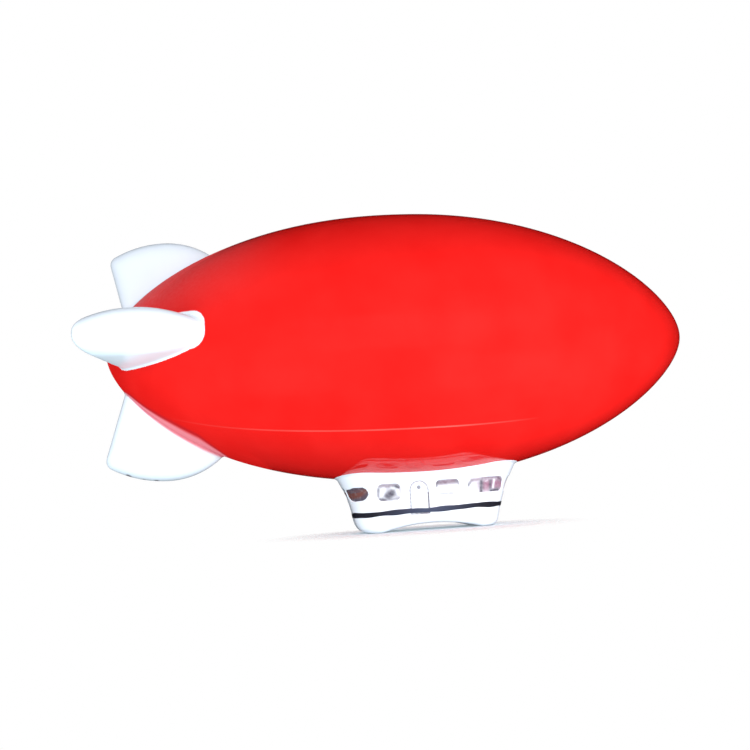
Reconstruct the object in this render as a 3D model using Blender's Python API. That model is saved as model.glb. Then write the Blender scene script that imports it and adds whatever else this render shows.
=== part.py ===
"""Squeeze toy in the shape of an advertising blimp, moulded in soft foam.

Frame: +X towards the nose, +Y to port, +Z up. The origin is on the floor,
under the middle of the hull. Sizes are in millimetres until a mesh is made.
Heights are above the floor that the gondola's two feet stand on.
"""
import math

import bmesh
import bpy
from mathutils import Vector

MM = 0.001

# Hull: a turned form, its radius given by a power law from its widest place to each tip
NOSE_X = 60.0
WIDEST_X = 0.4
TAIL_X = -60.0
HULL_RADIUS = 27.2
AXIS_HEIGHT = 37.0
NOSE_POWER, NOSE_TAPER = 2.04, 0.67
TAIL_POWER, TAIL_TAPER = 2.17, 0.63
TIP_ROUNDING = 0.03
TAIL_LIFT, TAIL_LIFT_FROM_X = 0.6, -31.0
HULL_STATIONS = 40
HULL_SIDES = 56

# Clearance between a piece and its neighbour, and behind a panel in a wall that curves away
GAP = 0.3
POCKET_GAP = 0.4

# Fin, in its own plane: x along the hull, r outwards from the hull's axis
FIN_AXIS_HEIGHT = 36.8
FIN_REAR_X = -59.7
FIN_CROWN_X = -48.1
FIN_CROWN_R = 24.4
FIN_CROWN_ARC = 22.0
FIN_LEADING_ARC = 15.0
FIN_LEADING_SWEEP = 78.0
FIN_CORNER_RADIUS = 1.8
FIN_TRAILING_LEAN = 15.0
FIN_ROOT_R = 3.0
FIN_THICKNESS = 8.4
FIN_THICKEST_X = -50.1
FIN_TAPER_LENGTH = 11.0
FIN_TAPER = 0.36
FIN_MIDDLE_R = 12.0
FIN_EDGE_WIDTH = 0.36
FIN_EDGE_POWER = 2.4
FIN_CROWNING = 0.05

FINS = (
    # name, turn about the hull's axis in degrees from straight up
    ("fin_upper", 0.0),
    ("fin_port", -90.0),
    ("fin_lower", 180.0),
    ("fin_starboard", 90.0),
)

# Gondola: its two ends flare out towards the hull, its corners grow rounder on the way,
# and its rear wall turns in at the foot
GONDOLA_REAR_X = -12.5
GONDOLA_REAR_FLARE = 0.0275
GONDOLA_REAR_TOE, GONDOLA_REAR_TOE_HEIGHT = 1.3, 2.8
GONDOLA_REAR_CORNER, GONDOLA_REAR_CORNER_GROWTH = 3.1, 0.30
GONDOLA_FRONT_X = 15.0
GONDOLA_FRONT_LEAN = 0.32
GONDOLA_FRONT_FLARE = 0.0126
GONDOLA_FRONT_CORNER, GONDOLA_FRONT_CORNER_GROWTH = 3.9, 0.38
GONDOLA_HALF_WIDTH = 6.6
GONDOLA_SIDE_LEAN = 0.059
GONDOLA_END_FLAT = 0.2
GONDOLA_BASE_EDGE = 1.1
GONDOLA_TOP = 14.0

# Arch that the foam's shrinkage left between the two feet
ARCH_REAR_X = -7.7
ARCH_FRONT_X = 11.6
ARCH_RISE = 1.35

# Black stripe round the gondola
STRIPE_HEIGHT = 3.7
STRIPE_WIDTH = 0.95
STRIPE_THICKNESS = 0.35

# Panels set into the gondola's walls
PANEL_RECESS = 0.12
PANEL_THICKNESS = 0.45
WINDOW_CORNER = 0.75

SIDE_WINDOWS = (
    # name, rear x at head, rear x at sill, front x at head, front x at sill, head, sill
    ("window_aft", -13.9, -13.0, -10.1, -10.3, 8.7, 6.1),
    ("window_mid_aft", -8.4, -8.4, -3.9, -4.0, 9.0, 5.85),
    ("window_mid_fore", 2.9, 2.9, 7.3, 7.2, 9.2, 6.3),
    ("window_fore", 9.0, 9.0, 16.1, 15.7, 9.2, 6.35),
)

END_WINDOWS = (
    # name, end (-1 rear, +1 front), half width at head, half width at sill, head, sill
    ("windscreen", 1, 3.9, 3.7, 9.2, 6.4),
    ("rear_window", -1, 2.6, 2.4, 8.7, 6.4),
)

SIDES = (
    # name, sign of y
    ("port", 1),
    ("starboard", -1),
)

# Door with a round top and a round window
DOOR_X = -0.45
DOOR_WIDTH = 3.7
DOOR_FOOT = 4.48
DOOR_HEAD = 9.35
PORTHOLE_HEIGHT = 8.0
PORTHOLE_RADIUS = 0.5

# Fineness of the faceted curves
ARC_STEP = 10.0
CORNER_STEPS = 4
GONDOLA_CORNER_STEPS = 9
SLICE_SPACING = 0.8
PORTHOLE_SIDES = 20


def clear_scene():
    for thing in list(bpy.data.objects):
        bpy.data.objects.remove(thing, do_unlink=True)


def make_material(name, colour, roughness):
    """A paint with its linear colour and gloss."""
    material = bpy.data.materials.new(name)
    material.use_nodes = True
    shader = material.node_tree.nodes["Principled BSDF"]
    shader.inputs["Base Color"].default_value = (*colour, 1.0)
    shader.inputs["Roughness"].default_value = roughness
    shader.inputs["Metallic"].default_value = 0.0
    return material


def add_object(name, rings, material=None, round_trip=False):
    """A closed body from rings of points in millimetres.

    Neighbouring rings are joined by quads. The end rings are filled, or
    joined to each other if round_trip is set. A ring of one point is a tip.
    """
    mesh_data = bmesh.new()
    loops = [[mesh_data.verts.new(Vector(point) * MM) for point in ring] for ring in rings]
    pairs = list(zip(loops, loops[1:]))
    if round_trip:
        pairs.append((loops[-1], loops[0]))
    for lower, upper in pairs:
        count = max(len(lower), len(upper))
        for i in range(count):
            corners = [
                lower[i % len(lower)],
                lower[(i + 1) % len(lower)],
                upper[(i + 1) % len(upper)],
                upper[i % len(upper)],
            ]
            mesh_data.faces.new(list(dict.fromkeys(corners)))
    if not round_trip:
        for loop in (loops[0], loops[-1]):
            if len(loop) > 2:
                mesh_data.faces.new(loop)
    bmesh.ops.recalc_face_normals(mesh_data, faces=mesh_data.faces)
    mesh = bpy.data.meshes.new(name)
    mesh_data.to_mesh(mesh)
    mesh_data.free()
    mesh.shade_smooth()
    mesh.set_sharp_from_angle(angle=math.radians(35))
    thing = bpy.data.objects.new(name, mesh)
    bpy.context.collection.objects.link(thing)
    if material:
        mesh.materials.append(material)
    else:
        thing.hide_render = True
        thing.display_type = "WIRE"
    return thing


def cut(thing, cutter):
    modifier = thing.modifiers.new("cut by " + cutter.name, "BOOLEAN")
    modifier.operation = "DIFFERENCE"
    modifier.solver = "EXACT"
    modifier.object = cutter


def arc(centre, radius, start, end):
    """Points along an arc, its angles in degrees."""
    steps = max(2, round(abs(end - start) / ARC_STEP))
    points = []
    for i in range(steps + 1):
        angle = math.radians(start + (end - start) * i / steps)
        points.append((centre[0] + radius * math.cos(angle), centre[1] + radius * math.sin(angle)))
    return points


def hull_radius(x):
    """The hull's radius at x: a power law whose last stretch is rounded off to a blunt tip."""
    if x > WIDEST_X:
        tip, power, taper = NOSE_X, NOSE_POWER, NOSE_TAPER
    else:
        tip, power, taper = TAIL_X, TAIL_POWER, TAIL_TAPER
    fullness = max(0.0, 1 - ((x - WIDEST_X) / (tip - WIDEST_X)) ** power)
    blunting = ((fullness + TIP_ROUNDING) / (1 + TIP_ROUNDING)) ** (taper - 0.5)
    return HULL_RADIUS * math.sqrt(fullness) * blunting


def hull_axis(x):
    """Height of the hull's middle at x: its tail is a little lifted."""
    share = max(0.0, (TAIL_LIFT_FROM_X - x) / (TAIL_LIFT_FROM_X - TAIL_X))
    return AXIS_HEIGHT + TAIL_LIFT * share**2


def hull_rings(offset):
    """The hull's rings from tail to nose, moved out along its surface by offset."""
    middle, half = (NOSE_X + TAIL_X) / 2, (NOSE_X - TAIL_X) / 2
    rings = [[(TAIL_X - offset, 0, hull_axis(TAIL_X))]]
    for i in range(1, HULL_STATIONS):
        x = middle - half * math.cos(math.pi * i / HULL_STATIONS)
        slope = (hull_radius(x + 0.01) - hull_radius(x - 0.01)) / 0.02
        length = math.hypot(1, slope)
        station = x - offset * slope / length
        radius = hull_radius(x) + offset / length
        ring = []
        for j in range(HULL_SIDES):
            angle = 2 * math.pi * j / HULL_SIDES
            ring.append((station, radius * math.cos(angle), hull_axis(x) + radius * math.sin(angle)))
        rings.append(ring)
    rings.append([(NOSE_X + offset, 0, AXIS_HEIGHT)])
    return rings


def fin_outline():
    """The fin's edge from its root at the nose side, over the crown, to the tail side."""
    lead_centre = (FIN_CROWN_X, FIN_CROWN_R - FIN_LEADING_ARC)
    crown_centre = (FIN_CROWN_X, FIN_CROWN_R - FIN_CROWN_ARC)
    corner_x = FIN_REAR_X + FIN_CORNER_RADIUS
    reach = FIN_CROWN_ARC - FIN_CORNER_RADIUS
    corner_r = crown_centre[1] + math.sqrt(reach**2 - (corner_x - FIN_CROWN_X) ** 2)
    meet = math.degrees(math.atan2(corner_r - crown_centre[1], corner_x - FIN_CROWN_X))
    points = arc(lead_centre, FIN_LEADING_ARC, 90 - FIN_LEADING_SWEEP, 90)
    points += arc(crown_centre, FIN_CROWN_ARC, 90, meet)[1:]
    points += arc((corner_x, corner_r), FIN_CORNER_RADIUS, meet, 180 + FIN_TRAILING_LEAN)[1:]
    tail_x, tail_r = points[-1]
    run = (tail_r - FIN_ROOT_R) * math.tan(math.radians(FIN_TRAILING_LEAN))
    for share in (1 / 3, 2 / 3, 1):
        points.append((tail_x + run * share, tail_r + (FIN_ROOT_R - tail_r) * share))
    points.append((FIN_CROWN_X, FIN_ROOT_R))
    points.append((points[0][0], FIN_ROOT_R))
    return points


def fin_half_thickness(x, share):
    """Half the fin's thickness at x, where share is 0 at its middle and 1 at its edge."""
    lengthwise = 1 - FIN_TAPER * ((x - FIN_THICKEST_X) / FIN_TAPER_LENGTH) ** 2
    edge = max(0.0, (share - 1 + FIN_EDGE_WIDTH) / FIN_EDGE_WIDTH)
    rounding = (1 - min(edge, 1.0) ** FIN_EDGE_POWER) ** (1 / FIN_EDGE_POWER)
    return FIN_THICKNESS / 2 * lengthwise * (1 - FIN_CROWNING * share**2) * rounding


def make_fin(name, turn, material):
    """A pillow: shrunken copies of the outline, stacked from one face to the other."""
    outline = fin_outline()
    start = 1 - FIN_EDGE_WIDTH
    shares = [start / 2, start]
    shares += [start + FIN_EDGE_WIDTH * math.sin(math.radians(a)) for a in (25, 45, 62, 77, 90)]
    levels = [(share, -1) for share in shares] + [(share, 1) for share in shares[-2::-1]]
    angle = math.radians(turn)

    def place(x, r, across):
        y = across * math.cos(angle) - r * math.sin(angle)
        z = across * math.sin(angle) + r * math.cos(angle)
        return (x, y, FIN_AXIS_HEIGHT + z)

    rings = []
    for share, face in levels:
        ring = []
        for x, r in outline:
            px = FIN_CROWN_X + (x - FIN_CROWN_X) * share
            pr = FIN_MIDDLE_R + (r - FIN_MIDDLE_R) * share
            ring.append(place(px, pr, face * fin_half_thickness(px, share)))
        rings.append(ring)
    half = fin_half_thickness(FIN_CROWN_X, 0)
    rings.insert(0, [place(FIN_CROWN_X, FIN_MIDDLE_R, -half)])
    rings.append([place(FIN_CROWN_X, FIN_MIDDLE_R, half)])
    return add_object(name, rings, material)


def gondola_end_x(end, height):
    """The x of the gondola's front (end 1) or rear (end -1) wall at a height."""
    if end > 0:
        return GONDOLA_FRONT_X + GONDOLA_FRONT_LEAN * height + GONDOLA_FRONT_FLARE * height**2
    toe = GONDOLA_REAR_TOE * max(0.0, 1 - height / GONDOLA_REAR_TOE_HEIGHT) ** 2
    return GONDOLA_REAR_X - GONDOLA_REAR_FLARE * height**2 + toe


def gondola_corner(end, height):
    """The radius of the gondola's two front (end 1) or rear (end -1) corners at a height."""
    if end > 0:
        radius = GONDOLA_FRONT_CORNER + GONDOLA_FRONT_CORNER_GROWTH * height
    else:
        radius = GONDOLA_REAR_CORNER + GONDOLA_REAR_CORNER_GROWTH * height
    return min(radius, gondola_half_width(height) - GONDOLA_END_FLAT)


def gondola_half_width(height):
    return GONDOLA_HALF_WIDTH + GONDOLA_SIDE_LEAN * height


def side_wall_y(x, height):
    """The gondola's half width at x: full between its corners, and rounded off at them."""
    y = gondola_half_width(height)
    for end in (-1, 1):
        radius = gondola_corner(end, height)
        beyond = end * (x - gondola_end_x(end, height)) + radius
        if beyond > 0:
            y += math.sqrt(max(0.0, radius**2 - beyond**2)) - radius
    return y


def end_wall_x(end, y, height):
    """The x of the front or rear wall at y: furthest in the middle, and rounded off at its corners."""
    x = gondola_end_x(end, height)
    radius = gondola_corner(end, height)
    beyond = abs(y) - gondola_half_width(height) + radius
    if beyond > 0:
        x += end * (math.sqrt(max(0.0, radius**2 - beyond**2)) - radius)
    return x


def gondola_ring(height, inset):
    """The gondola's outline at a height, moved in by inset: a rectangle with round corners."""
    x_low = gondola_end_x(-1, height) + inset
    x_high = gondola_end_x(1, height) - inset
    y_high = gondola_half_width(height) - inset
    front = gondola_corner(1, height) - inset
    rear = gondola_corner(-1, height) - inset
    ring = []
    corners = (
        (x_high - front, y_high - front, front, 0),
        (x_low + rear, y_high - rear, rear, 90),
        (x_low + rear, rear - y_high, rear, 180),
        (x_high - front, front - y_high, front, 270),
    )
    for x, y, radius, start in corners:
        for i in range(GONDOLA_CORNER_STEPS + 1):
            angle = math.radians(start + 90 * i / GONDOLA_CORNER_STEPS)
            ring.append((x + radius * math.cos(angle), y + radius * math.sin(angle), height))
    return ring


def band_rings(height, width, outer, inner):
    """Four rings of a belt round the gondola, between two insets from its walls."""
    low, high = height - width / 2, height + width / 2
    corners = ((low, outer), (high, outer), (high, inner), (low, inner))
    return [gondola_ring(level, inset) for level, inset in corners]


def rounded_outline(corners, radius):
    """A convex outline with each of its corners, listed anticlockwise, turned into an arc."""
    points = []
    count = len(corners)
    for i in range(count):
        here = Vector(corners[i])
        to_last = (Vector(corners[i - 1]) - here).normalized()
        to_next = (Vector(corners[(i + 1) % count]) - here).normalized()
        half_angle = to_last.angle(to_next) / 2
        centre = here + (to_last + to_next).normalized() * (radius / math.sin(half_angle))
        start = here + to_last * (radius / math.tan(half_angle)) - centre
        end = here + to_next * (radius / math.tan(half_angle)) - centre
        turn = start.angle(end)
        for k in range(CORNER_STEPS + 1):
            angle = math.atan2(start.y, start.x) + turn * k / CORNER_STEPS
            points.append((centre.x + radius * math.cos(angle), centre.y + radius * math.sin(angle)))
    return points


def grown_corners(corners, distance):
    """A convex outline's corners after each side, listed anticlockwise, moves out by distance."""
    grown = []
    count = len(corners)
    for i in range(count):
        here = Vector(corners[i])
        to_last = (Vector(corners[i - 1]) - here).normalized()
        to_next = (Vector(corners[(i + 1) % count]) - here).normalized()
        half_angle = to_last.angle(to_next) / 2
        grown.append(here - (to_last + to_next).normalized() * (distance / math.sin(half_angle)))
    return grown


def outline_span(outline, at):
    """The lowest and highest second coordinate of an outline where its first is at."""
    crossings = []
    for i in range(len(outline)):
        (a, low), (b, high) = outline[i - 1], outline[i]
        if min(a, b) <= at <= max(a, b) and a != b:
            crossings.append(low + (high - low) * (at - a) / (b - a))
    return min(crossings), max(crossings)


def panel_slices(outline, place, outer, inner):
    """Rings across a panel, from one side of its outline to the other, between two insets.

    place turns a point of the outline and an inset from the wall's face into a point in space.
    """
    edges = [point[0] for point in outline]
    start, end = min(edges), max(edges)
    start, end = start + (end - start) * 0.004, end - (end - start) * 0.004
    inside = sorted(edge for edge in edges if start < edge < end)
    stops = [start]
    for stop in inside + [end]:
        gap = stop - stops[-1]
        if gap < 0.02 and stop != end:
            continue
        pieces = max(1, math.ceil(gap / SLICE_SPACING))
        first = stops[-1]
        stops += [first + gap * k / pieces for k in range(1, pieces + 1)]
    rings = []
    for stop in stops:
        low, high = outline_span(outline, stop)
        corners = ((low, outer), (high, outer), (high, inner), (low, inner))
        rings.append([place(stop, level, inset) for level, inset in corners])
    return rings


def side_slices(outline, side, outer, inner):
    def place(x, z, inset):
        return (x, side * (side_wall_y(x, z) - inset), z)
    return panel_slices(outline, place, outer, inner)


def end_slices(outline, end, outer, inner):
    def place(y, z, inset):
        return (end_wall_x(end, y, z) - end * inset, y, z)
    return panel_slices(outline, place, outer, inner)


def side_rings(outline, side, outer, inner):
    """Two rings of a panel in the flat part of a side wall, between two insets from its face."""
    rings = []
    for inset in (outer, inner):
        rings.append([(x, side * (gondola_half_width(z) - inset), z) for x, z in outline])
    return rings


def door_outline(grow):
    half = DOOR_WIDTH / 2 + grow
    spring = DOOR_HEAD - DOOR_WIDTH / 2
    points = [(DOOR_X - half, DOOR_FOOT - grow), (DOOR_X + half, DOOR_FOOT - grow)]
    return points + arc((DOOR_X, spring), half, 0, 180)


def porthole_outline(grow):
    points = []
    for i in range(PORTHOLE_SIDES):
        angle = 2 * math.pi * i / PORTHOLE_SIDES
        x = DOOR_X + (PORTHOLE_RADIUS + grow) * math.cos(angle)
        points.append((x, PORTHOLE_HEIGHT + (PORTHOLE_RADIUS + grow) * math.sin(angle)))
    return points


def make_hull(material):
    return add_object("hull", hull_rings(0), material)


def make_hull_clearance():
    return add_object("hull_clearance", hull_rings(GAP))


def make_gondola(material, hull_clearance):
    rings = []
    for share in (0, 1, 2, 3):
        angle = math.radians(90 - 30 * share)
        inset = GONDOLA_BASE_EDGE * (1 - math.cos(angle))
        rings.append(gondola_ring(GONDOLA_BASE_EDGE * (1 - math.sin(angle)), inset))
    for height in (1.6, 2.2, GONDOLA_REAR_TOE_HEIGHT, 5.0, 7.0, 9.0, 11.0, 12.5, GONDOLA_TOP):
        rings.append(gondola_ring(height, 0))
    gondola = add_object("gondola", rings, material)

    half_span = (ARCH_FRONT_X - ARCH_REAR_X) / 2
    radius = (half_span**2 + ARCH_RISE**2) / (2 * ARCH_RISE)
    sweep = math.degrees(math.asin(half_span / radius))
    middle = (ARCH_FRONT_X + ARCH_REAR_X) / 2
    steps = 12
    outline = []
    for i in range(steps + 1):
        angle = math.radians(90 - sweep + 2 * sweep * i / steps)
        outline.append((middle + radius * math.cos(angle), ARCH_RISE - radius + radius * math.sin(angle)))
    outline[0] = (ARCH_FRONT_X, 0)
    outline[-1] = (ARCH_REAR_X, 0)
    outline += [(ARCH_REAR_X, -ARCH_RISE), (ARCH_FRONT_X, -ARCH_RISE)]
    reach = GONDOLA_HALF_WIDTH * 2
    arch = add_object("arch_cutter", [[(x, y, z) for x, z in outline] for y in (-reach, reach)])

    cut(gondola, arch)
    cut(gondola, hull_clearance)
    return gondola


def make_stripe(material, gondola):
    stripe = add_object(
        "pinstripe", band_rings(STRIPE_HEIGHT, STRIPE_WIDTH, 0, STRIPE_THICKNESS), material, True
    )
    depth = STRIPE_THICKNESS + GAP
    groove = add_object(
        "stripe_groove", band_rings(STRIPE_HEIGHT, STRIPE_WIDTH + 2 * GAP, -GAP, depth), None, True
    )
    cut(gondola, groove)
    return stripe


def make_windows(material, gondola):
    outer, inner = PANEL_RECESS, PANEL_RECESS + PANEL_THICKNESS
    for name, rear_head, rear_sill, front_head, front_sill, head, sill in SIDE_WINDOWS:
        corners = ((rear_sill, sill), (front_sill, sill), (front_head, head), (rear_head, head))
        pane = rounded_outline(corners, WINDOW_CORNER)
        pocket = rounded_outline(grown_corners(corners, GAP), WINDOW_CORNER + GAP)
        for side_name, side in SIDES:
            full_name = name + "_" + side_name
            add_object(full_name, side_slices(pane, side, outer, inner), material)
            cutter = add_object(full_name + "_pocket", side_slices(pocket, side, -GAP, inner + POCKET_GAP))
            cut(gondola, cutter)
    for name, end, half_head, half_sill, head, sill in END_WINDOWS:
        corners = ((-half_sill, sill), (half_sill, sill), (half_head, head), (-half_head, head))
        pane = rounded_outline(corners, WINDOW_CORNER)
        pocket = rounded_outline(grown_corners(corners, GAP), WINDOW_CORNER + GAP)
        add_object(name, end_slices(pane, end, outer, inner), material)
        cutter = add_object(name + "_pocket", end_slices(pocket, end, -GAP, inner + POCKET_GAP))
        cut(gondola, cutter)


def make_doors(white, brown, gondola):
    depth = PANEL_THICKNESS + PANEL_RECESS
    for side_name, side in SIDES:
        door = add_object("door_" + side_name, side_rings(door_outline(0), side, 0, depth), white)
        hole = add_object(
            "porthole_hole_" + side_name,
            side_rings(porthole_outline(GAP), side, -GAP, depth + GAP),
        )
        cut(door, hole)
        pane = side_rings(porthole_outline(0), side, PANEL_RECESS, depth)
        add_object("porthole_" + side_name, pane, brown)
        cutter = add_object(
            "door_pocket_" + side_name, side_rings(door_outline(GAP), side, -GAP, depth + GAP)
        )
        cut(gondola, cutter)


def make_fins(material, hull_clearance):
    for name, turn in FINS:
        fin = make_fin(name, turn, material)
        cut(fin, hull_clearance)


def build():
    clear_scene()
    red = make_material("red_skin", (0.98, 0.02, 0.022), 0.28)
    white = make_material("white_skin", (0.93, 0.94, 0.95), 0.32)
    brown = make_material("brown_paint", (0.20, 0.11, 0.10), 0.5)
    black = make_material("black_paint", (0.02, 0.022, 0.03), 0.45)

    hull_clearance = make_hull_clearance()
    make_hull(red)
    make_fins(white, hull_clearance)
    gondola = make_gondola(white, hull_clearance)
    make_stripe(black, gondola)
    make_windows(brown, gondola)
    make_doors(white, brown, gondola)


build()
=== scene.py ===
"""Looks of a squeeze toy in the shape of an advertising blimp, on a pale floor.

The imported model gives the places. Sizes here are in millimetres, in the
model's frame: +X towards the nose, +Y to port, +Z up, with the floor at 0.
"""
import math

import bpy
import numpy as np
from mathutils import Matrix, Vector, kdtree


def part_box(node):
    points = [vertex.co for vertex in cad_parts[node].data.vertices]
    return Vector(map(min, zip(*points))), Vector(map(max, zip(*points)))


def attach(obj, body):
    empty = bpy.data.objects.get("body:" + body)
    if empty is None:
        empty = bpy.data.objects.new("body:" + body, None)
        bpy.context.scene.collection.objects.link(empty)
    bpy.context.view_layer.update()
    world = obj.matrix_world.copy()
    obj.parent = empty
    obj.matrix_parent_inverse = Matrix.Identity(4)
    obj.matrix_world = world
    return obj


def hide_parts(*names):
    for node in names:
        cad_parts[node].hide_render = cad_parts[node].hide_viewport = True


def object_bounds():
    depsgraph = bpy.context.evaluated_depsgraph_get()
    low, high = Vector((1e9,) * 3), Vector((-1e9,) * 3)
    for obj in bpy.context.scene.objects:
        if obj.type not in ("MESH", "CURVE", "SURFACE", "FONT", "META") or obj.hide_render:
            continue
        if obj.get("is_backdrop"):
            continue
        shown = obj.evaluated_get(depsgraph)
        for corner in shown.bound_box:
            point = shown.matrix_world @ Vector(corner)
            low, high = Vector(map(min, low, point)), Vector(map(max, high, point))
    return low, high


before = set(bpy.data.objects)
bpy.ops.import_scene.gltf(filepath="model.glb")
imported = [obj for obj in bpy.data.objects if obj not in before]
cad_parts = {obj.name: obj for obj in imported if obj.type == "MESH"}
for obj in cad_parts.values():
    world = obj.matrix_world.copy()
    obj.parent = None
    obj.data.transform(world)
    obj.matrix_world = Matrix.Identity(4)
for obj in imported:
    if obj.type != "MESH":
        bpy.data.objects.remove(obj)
cad_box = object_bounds()

MM = 0.001
BODY = "root"
PORT, STARBOARD = 1, -1
FRONT, REAR = 1, -1
SIDES = (("port", PORT), ("starboard", STARBOARD))


def box_mm(node):
    low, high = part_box(node)
    return np.array(low) / MM, np.array(high) / MM


# Hull, whose size and place come from the model
HULL_LOW, HULL_HIGH = box_mm("hull")
TAIL_X, NOSE_X = HULL_LOW[0], HULL_HIGH[0]
HULL_RADIUS = (HULL_HIGH[1] - HULL_LOW[1]) / 2
AXIS_HEIGHT = (HULL_HIGH[2] + HULL_LOW[2]) / 2

# Its profile is a power law from the widest place to each tip, and its tail is a little lifted
WIDEST_X = 0.4
NOSE_POWER, NOSE_TAPER = 2.04, 0.67
TAIL_POWER, TAIL_TAPER = 2.17, 0.63
TIP_ROUNDING = 0.03
TAIL_LIFT, TAIL_LIFT_FROM_X = 0.6, -31.0
HULL_STATIONS = 240
HULL_SIDES = 256

# Painted highlight along the mould line on the hull's lower side, half way between its flank and its
# keel
MOULD_LINE_HIGHLIGHT_HALF_WIDTH = 0.16
MOULD_LINE_HIGHLIGHT_SAG = 0.0024
MOULD_LINE_HIGHLIGHT_REACH = (-47.0, 21.0)
MOULD_LINE_HIGHLIGHT_FADES = (42.0, 17.0)
MOULD_LINE_HIGHLIGHT_PATCHES = 14.0
MOULD_LINE_HIGHLIGHT_STRENGTH = (0.18, 0.44)

# Fin, in its own plane: x along the hull, r outwards from the hull's axis
FIN_REAR_X = box_mm("fin_upper")[0][0]
FIN_AXIS_HEIGHT = 36.8
FIN_CROWN_R = box_mm("fin_upper")[1][2] - FIN_AXIS_HEIGHT
FIN_CROWN_X = -48.1
FIN_CROWN_ARC = 22.0
FIN_LEADING_ARC = 15.0
FIN_LEADING_SWEEP = 78.0
FIN_CORNER_RADIUS = 1.8
FIN_TRAILING_LEAN = 15.0
FIN_ROOT_R = 3.0
FIN_HALF_THICKNESS = 4.2
FIN_THICKEST_X = -50.1
FIN_TAPER_LENGTH = 11.0
FIN_TAPER = 0.36
FIN_MIDDLE_R = 12.0
FIN_EDGE_WIDTH = 0.36
FIN_EDGE_POWER = 2.4
FIN_CROWNING = 0.05
FIN_FILLET = 0.40
FIN_RIM_POINTS = 340
FIN_FACE_RINGS, FIN_INNERMOST_SHARE = 42, 0.03
FIN_EDGE_RINGS, FIN_EDGE_FIRST_ANGLE = 15, 6.0

FINS = (
    # name, turn about the hull's axis in degrees from straight up
    ("fin_upper", 0.0),
    ("fin_port", -90.0),
    ("fin_lower", 180.0),
    ("fin_starboard", 90.0),
)

# White paint's reach over the hull round each fin's root, and the patch round the side fin's
# front that it covers, (x, z) anticlockwise. Ahead of the tail zone the hull's paint is plain.
MARGINS = {
    # name: on its upper side, on its lower side, at its front
    "fin_upper": (-0.30, -0.30, -0.30),
    "fin_port": (0.10, 0.15, 0.05),
    "fin_lower": (-0.30, -0.30, -0.30),
    "fin_starboard": (0.10, 0.15, 0.05),
}
MARGIN_TURN_HEIGHTS = (-1.5, 1.5)
MARGIN_FRONT_FROM_X = (-40.0, -37.0)
TAIL_ZONE_END_X = -18.1
NO_MARGIN = 9.0
SIDE_PATCH = ((-50.0, 33.2), (-37.6, 33.8), (-37.6, 40.4), (-50.0, 41.1))
SIDE_PATCH_CORNER = 2.5
SIDE_PATCH_SHRINK = 0.1

# White dust on the hull by the upper fin, also a painted reflection of that white fin, and matt
# overspray by the upper and lower fins
DUST_AND_REFLECTION, DUST_AND_REFLECTION_REACH = 0.48, 7.5
DUST_AND_REFLECTION_HEIGHTS, DUST_AND_REFLECTION_END = (-4.0, 9.0), (-33.0, -20.0)
OVERSPRAY_REACH = (8.0, 13.0)

# Where red and white sprays meet in pink along the lower fin's root: full up to a share of
# its width, with a darker edge. On the hull the pink is also a painted reflection of the white
# fin and its dark red edge is painted shade; on the fin the edge is a grey line
STRAY_RED = (
    # x, width on the hull, width on the fin
    (-57.0, 0.20, 0.10),
    (-52.0, 1.60, 0.45),
    (-46.0, 3.60, 0.80),
    (-41.0, 4.80, 0.90),
    (-38.0, 3.40, 0.60),
    (-35.0, 0.80, 0.20),
)
STRAY_X, PINK_WIDTH_ON_HULL, STRAY_ON_FIN = zip(*STRAY_RED)
FULL_ON_HULL, FULL_ON_FIN = 0.55, 0.35
SHADE_EDGE_ON_HULL, SHADE_EDGE_ON_HULL_WIDTH = 0.5, 0.6
EDGE_ON_FIN, EDGE_ON_FIN_WIDTH = 0.16, 0.2

# Chips in the paint on the lower fin's edge, a little to starboard of the edge's middle
CHIPS = (
    # x, r, size
    (-59.9, 16.9, 0.50),
    (-55.3, 23.0, 0.62),
    (-50.2, 24.5, 0.50),
    (-52.6, 24.1, 0.34),
)
CHIP_SIDE, CHIP_SIDE_STRETCH = 0.9, 0.5
CHIP_EDGE = (0.6, 1.4)

# Gondola
GONDOLA_REAR_X = -12.5
GONDOLA_REAR_FLARE = 0.0275
GONDOLA_REAR_TOE, GONDOLA_REAR_TOE_HEIGHT = 1.3, 2.8
GONDOLA_REAR_CORNER, GONDOLA_REAR_CORNER_GROWTH = 3.1, 0.30
GONDOLA_FRONT_X = 15.0
GONDOLA_FRONT_LEAN = 0.32
GONDOLA_FRONT_FLARE = 0.0126
GONDOLA_FRONT_CORNER, GONDOLA_FRONT_CORNER_GROWTH = 3.9, 0.38
GONDOLA_HALF_WIDTH = 6.6
GONDOLA_SIDE_LEAN = 0.059
GONDOLA_END_FLAT = 0.2
GONDOLA_BASE_EDGE = 1.1
GONDOLA_FILLET = 0.35
ARCH_REAR_X = -7.7
ARCH_FRONT_X = 11.6
ARCH_RISE = 1.35
ARCH_SOFTNESS = 0.05

# Its skin: how deep it runs into the hull, where it closes in there, and how its rings lie
GONDOLA_SINK = 0.25
GONDOLA_TOP_GUESS = 12.5
GONDOLA_CLOSING_HEIGHT, GONDOLA_CLOSING_LIFT = 14.0, 3.0
GONDOLA_SPINE = 0.25
GONDOLA_FOOT_SHARE, GONDOLA_FOOT_RINGS = 0.12, 12
GONDOLA_WALL_RINGS = 92
GONDOLA_BASE_RINGS = 12

# Panels in the gondola's walls
WINDOW_RECESS = 0.2
WINDOW_RIM = 0.14
WINDOW_CORNER = 0.75
PAINT_LIFT = 0.025
PANE_RINGS, PANE_INNERMOST_SHARE = 34, 0.03
PANE_CLIMB = 0.05
PANE_BACK = WINDOW_RECESS + 0.05
PANE_POINTS = 120
EDGE_SHARES = (0.955, 1.0)
LEAST_DROP = 0.1  # for a panel that would run past the end of a round corner
FACING = 0.25  # how squarely a wall faces a side or an end where that side's panels lie

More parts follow.
